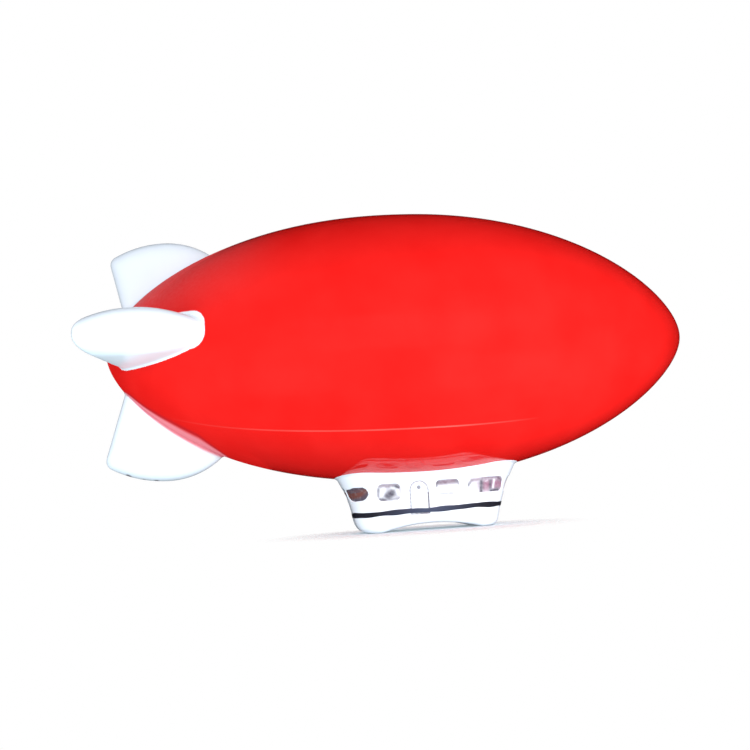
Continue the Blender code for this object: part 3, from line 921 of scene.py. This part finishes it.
def make_fin(name, turn, material):
    """Makes a fin and returns the line where it meets the hull."""
    own, points, faces = fin_skin(turn)
    faces = facing_out(points, faces)
    root = root_line(points, faces)
    height = height_above_hull(points)

    # the root spreads onto the hull in a small fillet
    out = unit(points * [0, 1, 1] - [0, 0, AXIS_HEIGHT])
    out[:, 0] = -hull_slope(points[:, 0])
    out = unit(out)
    normals = point_normals(points, faces)
    along = unit(normals - out * np.sum(normals * out, axis=1, keepdims=True))
    rise = FIN_FILLET - np.clip(height, 0, FIN_FILLET)
    spread = FIN_FILLET - np.sqrt(FIN_FILLET**2 - rise**2)
    points = points + along * spread[:, None]

    stray = np.zeros(len(points))
    marks_and_painted_shade = np.zeros(len(points))
    if name == "fin_lower":
        width = np.interp(points[:, 0], STRAY_X, STRAY_ON_FIN)
        stray = 1 - step_up(height, width * FULL_ON_FIN, width)
        marks_and_painted_shade = paint_border(height, width, EDGE_ON_FIN, EDGE_ON_FIN_WIDTH)
        for x, r, size in CHIPS:
            beside = (own[:, 1] - CHIP_SIDE) ** 2 * CHIP_SIDE_STRETCH
            away = np.sqrt((own[:, 0] - x) ** 2 + (own[:, 2] - r) ** 2 + beside)
            marks_and_painted_shade = np.maximum(marks_and_painted_shade, 1 - step_up(away, size * CHIP_EDGE[0], size * CHIP_EDGE[1]))
    values = {"stray_red": stray, "marks_and_painted_shade": marks_and_painted_shade}
    add_piece(name + "_painted", points, faces, material, [name], values)
    return root


# Hull

def hull_skin():
    middle, half = (NOSE_X + TAIL_X) / 2, (NOSE_X - TAIL_X) / 2
    stations = middle - half * np.cos(np.pi * np.arange(1, HULL_STATIONS) / HULL_STATIONS)
    angles = 2 * np.pi * np.arange(HULL_SIDES) / HULL_SIDES
    rings = []
    for x in stations:
        y = hull_radius(x) * np.cos(angles)
        z = hull_axis(x) + hull_radius(x) * np.sin(angles)
        rings.append(np.stack([np.full(HULL_SIDES, x), y, z], 1))
    tips = [np.array([TAIL_X, 0, hull_axis(TAIL_X)]), np.array([NOSE_X, 0, AXIS_HEIGHT])]
    return loft(rings, tips)


def make_hull(material, roots):
    """Makes the hull, with the paint's variations, painted reflections and painted shade round each
    fin's root.
    """
    points, faces = hull_skin()
    tail = points[:, 0] < TAIL_ZONE_END_X
    near = points[tail]
    x, above = near[:, 0], near[:, 2] - AXIS_HEIGHT
    margin = SIDE_PATCH_SHRINK + outline_distance(near[:, [0, 2]], SIDE_PATCH, SIDE_PATCH_CORNER)
    overspray = np.zeros(len(near))
    for name, (over, under, front) in MARGINS.items():
        away = nearest(near, roots[name])
        reach = under + (over - under) * step_up(above, *MARGIN_TURN_HEIGHTS)
        reach = reach + (front - reach) * step_up(x, *MARGIN_FRONT_FROM_X)
        margin = np.minimum(margin, away - reach)
        if name in ("fin_upper", "fin_lower"):
            overspray = np.maximum(overspray, 1 - step_up(away, *OVERSPRAY_REACH))
        if name == "fin_upper":
            fading = step_up(above, *DUST_AND_REFLECTION_HEIGHTS) * (1 - step_up(x, *DUST_AND_REFLECTION_END))
            # white dust, which also paints the white upper fin's reflection: a painted reflection
            dust_and_painted_reflection = DUST_AND_REFLECTION * fading * np.exp(-away / DUST_AND_REFLECTION_REACH)
        if name == "fin_lower":
            width = np.interp(x, STRAY_X, PINK_WIDTH_ON_HULL)
            # pink on the hull: overspray, and a painted reflection of the white lower fin
            pink_and_painted_reflection = 1 - step_up(away, width * FULL_ON_HULL, width)
            # the dark red edge of that pink: painted shade
            border = paint_border(away, width, SHADE_EDGE_ON_HULL, SHADE_EDGE_ON_HULL_WIDTH)
    values = {}
    for label, at_tail, elsewhere in (
        ("dust_and_painted_reflection", dust_and_painted_reflection, 0.0),
        ("pink_and_painted_reflection", pink_and_painted_reflection, 0.0),
        ("painted_edge_shade", border, 0.0),
        ("overspray", overspray, 0.0),
        ("fin_margin", margin, NO_MARGIN),
    ):
        values[label] = np.full(len(points), elsewhere)
        values[label][tail] = at_tail
    add_piece("hull_painted", points, faces, material, ["hull"], values)


# Gondola

def gondola_end_x(end, height):
    if end == FRONT:
        return GONDOLA_FRONT_X + GONDOLA_FRONT_LEAN * height + GONDOLA_FRONT_FLARE * height**2
    toe = GONDOLA_REAR_TOE * np.maximum(0, 1 - height / GONDOLA_REAR_TOE_HEIGHT) ** 2
    return GONDOLA_REAR_X - GONDOLA_REAR_FLARE * height**2 + toe


def gondola_half_width(height):
    return GONDOLA_HALF_WIDTH + GONDOLA_SIDE_LEAN * height


def gondola_corner(end, height):
    """The radius of the gondola's front or rear corners at a height."""
    if end == FRONT:
        radius = GONDOLA_FRONT_CORNER + GONDOLA_FRONT_CORNER_GROWTH * height
    else:
        radius = GONDOLA_REAR_CORNER + GONDOLA_REAR_CORNER_GROWTH * height
    return np.minimum(radius, gondola_half_width(height) - GONDOLA_END_FLAT)


def arch_height(x):
    """Height of the gondola's underside at x: flat feet with a shrinkage arch between."""
    half_span = (ARCH_FRONT_X - ARCH_REAR_X) / 2
    radius = (half_span**2 + ARCH_RISE**2) / (2 * ARCH_RISE)
    away = np.clip(x - (ARCH_FRONT_X + ARCH_REAR_X) / 2, -half_span, half_span)
    rise = np.sqrt(radius**2 - away**2) - radius + ARCH_RISE
    return np.sqrt(np.maximum(rise, 0) ** 2 + ARCH_SOFTNESS**2) - ARCH_SOFTNESS


def wall_template(along, corner, flat):
    """Where each point round the gondola lies, from the front's middle, past port, and back.

    Each row is (u, v, cx, cy): u runs from -1 at the rear corner's centre to 1
    at the front one's, v from 0 in the middle to 1 at the corner's centre, and
    (cx, cy) is the direction out of the wall.
    """
    rows = [(1, v, 1, 0) for v in np.linspace(0, 1, flat)]
    rows += [(1, 1, math.cos(a), math.sin(a)) for a in np.radians(np.linspace(0, 90, corner))[1:-1]]
    rows += [(u, 1, 0, 1) for u in np.linspace(1, -1, along)]
    rows += [(-1, 1, math.cos(a), math.sin(a)) for a in np.radians(np.linspace(90, 180, corner))[1:-1]]
    rows += [(-1, v, -1, 0) for v in np.linspace(1, 0, flat)]
    half = np.array(rows)
    back = half[-2:0:-1] * [1, -1, 1, -1]
    return np.concatenate([half, back])


def wall_points(template, height, inset):
    """Points round the gondola at a height for each, moved in by inset."""
    rear, front = gondola_corner(REAR, height), gondola_corner(FRONT, height)
    low, high = gondola_end_x(REAR, height) + rear, gondola_end_x(FRONT, height) - front
    u, v, cx, cy = template.T
    toward_front = (u + 1) / 2
    radius = rear + (front - rear) * toward_front
    x = low + (high - low) * toward_front + (radius - inset) * cx
    y = (gondola_half_width(height) - radius) * v + (radius - inset) * cy
    return np.stack([x, y, np.broadcast_to(height, x.shape)], 1)


def end_window_corners(name):
    _, half_head, half_sill, head, sill = END_WINDOWS[name]
    return [(-half_sill, sill), (half_sill, sill), (half_head, head), (-half_head, head)]


def door_distance(points):
    """Distance from the door's outline, negative inside it."""
    x, z = points[:, 0] - DOOR_X, points[:, 1]
    round_top = np.hypot(x, z - DOOR_SPRING) - DOOR_HALF_WIDTH
    straight = np.maximum(np.abs(x) - DOOR_HALF_WIDTH, DOOR_FOOT - z)
    return np.where(z > DOOR_SPRING, round_top, straight)


def window_recess(points, corners, rounding):
    away = outline_distance(points, corners, rounding)
    return WINDOW_RECESS * (1 - step_up(away, -WINDOW_RIM / 2, WINDOW_RIM))


def wall_relief(template, points):
    """How far the wall is set in at each point, and how much painted shade lies there."""
    on_side = np.abs(template[:, 3]) > FACING
    across = points[:, [0, 2]]
    recess = np.zeros(len(points))
    for rounding, corners in SIDE_WINDOWS.values():
        recess += on_side * window_recess(across, corners, rounding)
    for name, (end, *_) in END_WINDOWS.items():
        on_end = template[:, 2] * end > FACING
        recess += on_end * window_recess(points[:, [1, 2]], end_window_corners(name), WINDOW_CORNER)
    door = door_distance(across)
    groove = on_side * (1 - step_up(np.abs(door), *DOOR_GROOVE_EDGE))
    pocket = on_side * (1 - step_up(door, *DOOR_POCKET_EDGE))
    recess += DOOR_GROOVE_DEPTH * groove + DOOR_POCKET_DEPTH * pocket

    x, z = across.T
    in_front = step_up(x, DOOR_X, DOOR_X + GROOVE_FRONT_BLEND) * (z < GROOVE_FRONT_HEAD)
    dashes = 1 - GROOVE_DASH * (1 - np.sin(GROOVE_DASHES_ALONG * x + GROOVE_DASHES_UP * z))
    # grey painted shade in the groove, in dashes and darker at its front
    marks_and_painted_shade = groove * (GROOVE_PAINTED_SHADE * dashes + GROOVE_FRONT_PAINTED_SHADE * in_front)
    # a patch of painted shade at the door's foot, below the black line
    foot_shade = np.linalg.norm((across - DOOR_FOOT_SHADE_PLACE) / DOOR_FOOT_SHADE_SIZE, axis=1)
    marks_and_painted_shade += on_side * DOOR_FOOT_SHADE * np.exp(-(foot_shade**2))
    return recess, marks_and_painted_shade


def wall_ring(template, share):
    """The gondola's wall at a share of its height from its arched foot to the hull, and its painted
    shade.
    """
    height = np.full(len(template), GONDOLA_TOP_GUESS * share)
    # a flared wall's place depends on its height and its height on its place, so both settle here
    for _ in range(4):
        points = wall_points(template, height, 0)
        foot = arch_height(points[:, 0])
        hull = under_hull(points[:, 0], points[:, 1])
        height = foot + share * (hull + GONDOLA_SINK - foot)
    rise = np.clip(GONDOLA_BASE_EDGE - (height - foot), 0, GONDOLA_BASE_EDGE)
    inset = GONDOLA_BASE_EDGE - np.sqrt(GONDOLA_BASE_EDGE**2 - rise**2)
    near_top = GONDOLA_FILLET - np.clip(hull - height, 0, GONDOLA_FILLET)
    inset = inset - (GONDOLA_FILLET - np.sqrt(GONDOLA_FILLET**2 - near_top**2))
    points = wall_points(template, height, inset)
    recess, marks_and_painted_shade = wall_relief(template, points)
    points[:, :2] -= recess[:, None] * template[:, 2:]
    return points, marks_and_painted_shade


def make_gondola(material):
    template = wall_template(along=150, corner=56, flat=4)
    clean = np.zeros(len(template))
    deepest = gondola_half_width(0) - GONDOLA_SPINE

    # from the closed top inside the hull, down the walls, to the middle of the base
    closing = wall_points(template, clean + GONDOLA_CLOSING_HEIGHT, deepest)
    rings = [closing + [0, 0, GONDOLA_CLOSING_LIFT]]
    marks_and_painted_shades = [clean]
    foot_shares = np.linspace(0, GONDOLA_FOOT_SHARE, GONDOLA_FOOT_RINGS)
    wall_shares = np.linspace(GONDOLA_FOOT_SHARE, 1, GONDOLA_WALL_RINGS)[1:]
    for share in np.concatenate([foot_shares, wall_shares])[::-1]:
        points, marks_and_painted_shade = wall_ring(template, share)
        rings.append(points)
        marks_and_painted_shades.append(marks_and_painted_shade)
    for inset in np.linspace(GONDOLA_BASE_EDGE, deepest, GONDOLA_BASE_RINGS)[1:]:
        points = wall_points(template, clean, inset)
        points[:, 2] = arch_height(points[:, 0])
        rings.append(points)
        marks_and_painted_shades.append(clean)

    points, faces = loft(rings)
    count = len(template)
    faces += zipped(len(points) - count, count)
    faces += [face[::-1] for face in zipped(0, count)]
    values = {"stray_red": np.zeros(len(points)), "marks_and_painted_shade": np.concatenate(marks_and_painted_shades)}
    add_piece("gondola_moulded", points, faces, material, ["gondola"], values)


# Windows

def stroke_values(flat, corners, strokes):
    """How much paint covers each point of a pane, and its tone, from brush strokes."""
    corners = np.asarray(corners, float)
    low, high = corners.min(0), corners.max(0)
    cover = np.zeros(len(flat))
    tone = np.zeros(len(flat))
    for u0, v0, u1, v1, half_width, strength, hue in strokes:
        a = low + (high - low) * [u0, v0]
        b = low + (high - low) * [u1, v1]
        share = np.clip((flat - a) @ (b - a) / max(np.dot(b - a, b - a), 1e-9), 0, 1)
        away = np.linalg.norm(flat - (a + share[:, None] * (b - a)), axis=1)
        laid = strength * np.exp(-((away / half_width) ** STROKE_FALLOFF))
        under = cover * (1 - laid)
        if hue is BARE:
            cover = under
        else:
            tone = (tone * under + hue * laid) / np.maximum(under + laid, 1e-6)
            cover = np.maximum(cover, laid)
    return cover, tone


def make_pane(node, corners, rounding, place, material, strokes):
    """A thin paint film on a window's recessed floor, its rim running up the recess's side."""
    outline = rounded_outline(corners, rounding)
    centre = outline.mean(0)[None]
    face_depth = WINDOW_RECESS - PAINT_LIFT
    rings = [place(outline, PANE_BACK)]
    flats = [outline]
    for share in np.linspace(1.0, PANE_INNERMOST_SHARE, PANE_RINGS):
        flat = centre + (outline - centre) * share
        rings.append(place(flat, face_depth - PANE_CLIMB * step_up(share, *EDGE_SHARES)))
        flats.append(flat)
    tips = (place(centre, PANE_BACK), place(centre, face_depth))
    points, faces = loft(rings, tips)
    cover, tone = stroke_values(np.vstack(flats + [centre, centre]), corners, strokes)
    values = {"cover": cover, "tone": tone}
    add_piece(node + "_paint", points, faces, material, [node], values)


def side_place(side):
    """Turns (x, z) in a side wall and a depth below its face into points, round the corners too."""
    def place(flat, depth):
        x, z = flat.T
        wide = gondola_half_width(z)
        y = wide
        out = np.zeros(len(flat))
        lean = np.ones(len(flat))
        for end in (REAR, FRONT):
            radius = gondola_corner(end, z)
            beyond = end * (x - gondola_end_x(end, z)) + radius
            turned = beyond > 0
            drop = np.sqrt(np.maximum(radius**2 - beyond**2, LEAST_DROP**2))
            y = np.where(turned, wide - radius + drop, y)
            out = np.where(turned, end * beyond / radius, out)
            lean = np.where(turned, drop / radius, lean)
        return np.stack([x - out * depth, side * (y - lean * depth), z], 1)
    return place


def end_place(end):
    """The same for (y, z) in the front or rear wall."""
    def place(flat, depth):
        y, z = flat.T
        radius = gondola_corner(end, z)
        beyond = np.maximum(np.abs(y) - gondola_half_width(z) + radius, 0)
        drop = np.sqrt(np.maximum(radius**2 - beyond**2, LEAST_DROP**2))
        x = gondola_end_x(end, z) + end * (drop - radius)
        out = np.sign(y) * beyond / radius
        return np.stack([x - end * depth * drop / radius, y - out * depth, z], 1)
    return place


def make_windows(material):
    for side_name, side in SIDES:
        for name, (rounding, corners) in SIDE_WINDOWS.items():
            node = name + "_" + side_name
            make_pane(node, corners, rounding, side_place(side), material, STROKES[name])
    for name, (end, *_) in END_WINDOWS.items():
        corners = end_window_corners(name)
        make_pane(name, corners, WINDOW_CORNER, end_place(end), material, STROKES[name])


# Doors

def door_depth(share, away):
    """Depth of the leaf's face: a rim that drops, and a ring and a dish round its window."""
    ring = (away - PORTHOLE_RADIUS - PORTHOLE_RING_GAP) / PORTHOLE_RING_WIDTH
    low, high = PORTHOLE_DISH_EDGE
    dish = 1 - step_up(away, PORTHOLE_RADIUS + low, PORTHOLE_RADIUS + high)
    drop = DOOR_RIM_DROP * step_up(share, *EDGE_SHARES) - DOOR_PROUD
    return drop - PORTHOLE_RING * np.exp(-(ring**2)) + PORTHOLE_DISH * dish


def make_door(side_name, side, white):
    """A door leaf inside its moulded groove, with the ring of its round window."""
    inner = DOOR_HALF_WIDTH - DOOR_GAP
    foot = DOOR_FOOT + DOOR_GAP
    top = arc_points((DOOR_X, DOOR_SPRING), inner, 0, 180, 4)
    corners = [(DOOR_X - inner, foot), (DOOR_X + inner, foot)]
    outline = resampled(np.vstack([corners, top]), DOOR_POINTS)
    centre = np.array([[DOOR_X, PORTHOLE_HEIGHT]])
    place = side_place(side)
    rings = []
    marks_and_painted_shades = []
    shares = [*DOOR_RIM_SHARES, *np.linspace(*DOOR_RING_SHARES, DOOR_RINGS)]
    for i, share in enumerate(shares):
        flat = centre + (outline - centre) * share
        depth = DOOR_BACK if i == 0 else door_depth(share, np.hypot(*(flat - centre).T))
        rings.append(place(flat, depth))
        from_spring = np.hypot(*(flat - [DOOR_X, DOOR_SPRING]).T)
        arch = 1 - step_up(np.abs(from_spring - inner * DOOR_ARCH_SHARE), *DOOR_ARCH_EDGE)
        marks_and_painted_shades.append(DOOR_ARCH_MARK * arch * (flat[:, 1] > DOOR_SPRING + DOOR_ARCH_FOOT))
    tips = (place(centre, DOOR_BACK), place(centre, PORTHOLE_DISH - DOOR_PROUD))
    points, faces = loft(rings, tips)
    values = {"stray_red": np.zeros(len(points)), "marks_and_painted_shade": np.concatenate(marks_and_painted_shades + [np.zeros(2)])}
    node = "door_" + side_name
    add_piece(node + "_moulded", points, faces, white, [node], values)


def make_porthole(side_name, side, brown):
    """The round window's paint, a shallow drop in its dish."""
    centre = np.array([[DOOR_X, PORTHOLE_HEIGHT]])
    outline = arc_points(centre[0], PORTHOLE_RADIUS, 0, 360, 12)[:-1]
    place = side_place(side)
    rings = []
    for share in PORTHOLE_PAINT_SHARES:
        depth = PORTHOLE_PAINT_RIM - PORTHOLE_PAINT_CROWN * (1 - share**2)
        rings.append(place(centre + (outline - centre) * share, depth))
    front = place(centre, PORTHOLE_PAINT_RIM - PORTHOLE_PAINT_CROWN)
    points, faces = loft(rings, (place(centre, PORTHOLE_PAINT_BACK), front))
    values = {"cover": np.full(len(points), PORTHOLE_COVER), "tone": np.full(len(points), SLATE)}
    node = "porthole_" + side_name
    add_piece(node + "_paint", points, faces, brown, [node], values)


# Black line

def make_line(material):
    """A low ridge of paint whose height and width waver as the brush went round."""
    template = wall_template(along=130, corner=36, flat=4)
    course = wall_points(template, np.full(len(template), LINE_HEIGHT), 0)
    steps = np.linalg.norm(np.diff(course, axis=0, append=course[:1]), axis=1)
    turn = 2 * np.pi * (np.cumsum(steps) - steps) / np.sum(steps)
    middle = LINE_HEIGHT + LINE_RISE * (course[:, 0] - LINE_RISE_FROM_X)
    for height, count, start in LINE_WAVES:
        middle += height * np.sin(count * turn + start)
    width = np.ones(len(template))
    for share, count, start in LINE_SWELLS:
        width += share * np.sin(count * turn + start)
    rings = []
    for across, proud in LINE_PROFILE:
        rings.append(wall_points(template, middle + LINE_HALF_WIDTH * width * across, -proud))
    points, faces = loft(rings, looped=True)
    # a lighter blue-grey painted sheen along the middle of each side
    thin = np.clip(LINE_SHEEN_SHARE * (1 - np.abs(template[:, 0])), 0, 1)
    thin *= np.abs(template[:, 3]) > LINE_SHEEN_FACING
    values = {"thin": np.tile(thin, len(rings))}
    add_piece("pinstripe_paint", points, faces, material, ["pinstripe"], values)


# Studio

def aimed(place, target, roll=0.0):
    """Where a camera or light stands when it looks at target, turned about its own axis by roll."""
    back = (Vector(place) - Vector(target)).normalized()
    turn = back.to_track_quat("Z", "Y").to_matrix()
    return Matrix.Translation(Vector(place) * MM) @ (turn @ Matrix.Rotation(roll, 3, "Z")).to_4x4()


def make_camera():
    data = bpy.data.cameras.new("camera")
    data.lens = CAMERA_LENS
    data.sensor_width = SENSOR
    data.clip_start, data.clip_end = CAMERA_CLIP
    camera = bpy.data.objects.new("camera", data)
    camera.matrix_world = aimed(CAMERA_PLACE, CAMERA_TARGET, CAMERA_ROLL)
    bpy.context.scene.collection.objects.link(camera)
    bpy.context.scene.camera = camera


def make_light(name, place, target, size, power, tint):
    data = bpy.data.lights.new(name, "AREA")
    data.shape = "RECTANGLE"
    data.size, data.size_y = size[0] * MM, size[1] * MM
    data.energy = power
    data.color = tint
    light = bpy.data.objects.new(name, data)
    light.matrix_world = aimed(place, target)
    light.visible_camera = False
    light.visible_glossy = False
    bpy.context.scene.collection.objects.link(light)


def level_circle(radius, height, sides):
    angles = np.linspace(0, 2 * np.pi, sides, endpoint=False)
    return np.stack([radius * np.cos(angles), radius * np.sin(angles), np.full(sides, height)], 1)


def make_floor():
    """A pale table top that fades into the white surroundings a little way from the toy."""
    radii = np.linspace(FLOOR_RADIUS, FLOOR_INNERMOST, FLOOR_RINGS)
    rings = [level_circle(radius, 0.0, FLOOR_SIDES) for radius in radii]
    points, faces = loft(rings, (None, np.zeros(3)))
    from_patch = np.hypot((points[:, 0] - FLOOR_PATCH_X) / FLOOR_PATCH_STRETCH, points[:, 1])
    away = {"away": step_up(from_patch, *FLOOR_FADE)}
    floor = mesh_object("floor", points, faces, white_table_board(), away)
    floor.visible_glossy = False
    floor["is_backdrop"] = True


def make_backdrop():
    """A white studio dome that only the camera sees, so it doesn't light the toy."""
    rings = []
    for tilt in np.radians(np.linspace(-DOME_TILT, DOME_TILT, DOME_RINGS)):
        radius, height = DOME_RADIUS * math.cos(tilt), DOME_RADIUS * math.sin(tilt)
        rings.append(level_circle(radius, height, DOME_SIDES))
    tips = [np.array([0, 0, -DOME_RADIUS]), np.array([0, 0, DOME_RADIUS])]
    points, faces = loft(rings, tips)
    dome = mesh_object("backdrop", points, faces, white_studio_dome(), {})
    dome.visible_diffuse = False
    dome.visible_glossy = False
    dome.visible_transmission = False
    dome.visible_shadow = False
    dome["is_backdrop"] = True


def make_room():
    """Soft light from all round, whose glow is weaker the nearer it comes from the ceiling."""
    room = bpy.data.worlds.new("studio")
    room.use_nodes = True
    room.node_tree.nodes.clear()
    direction = add_node(room, "ShaderNodeTexCoord").outputs["Generated"]
    upward = add_node(room, "ShaderNodeSeparateXYZ", {"Vector": direction}).outputs["Z"]
    glow = add_node(
        room, "ShaderNodeMapRange", {"Value": upward, "To Min": WALL_GLOW, "To Max": CEILING_GLOW}
    )
    light = add_node(room, "ShaderNodeBackground", {"Color": ROOM_TINT, "Strength": glow})
    add_node(room, "ShaderNodeOutputWorld", {"Surface": light})
    bpy.context.scene.world = room
    room.cycles_visibility.glossy = False


red = sprayed_red_paint()
white = sprayed_white_paint()
brown = brushed_brown_paint()
black = brushed_black_paint()

roots = {fin_name: make_fin(fin_name, fin_turn, white) for fin_name, fin_turn in FINS}
make_hull(red, roots)
make_gondola(white)
make_windows(brown)
for door_side, door_sign in SIDES:
    make_door(door_side, door_sign, white)
    make_porthole(door_side, door_sign, brown)
make_line(black)

make_camera()
make_floor()
make_backdrop()
for light_settings in LIGHTS:
    make_light(*light_settings)
make_room()
bpy.context.scene.view_settings.view_transform = "Standard"

look_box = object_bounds()
boxes = {"cad": cad_box, "look": look_box}
{name: [[float(c) for c in corner] for corner in box] for name, box in boxes.items()}
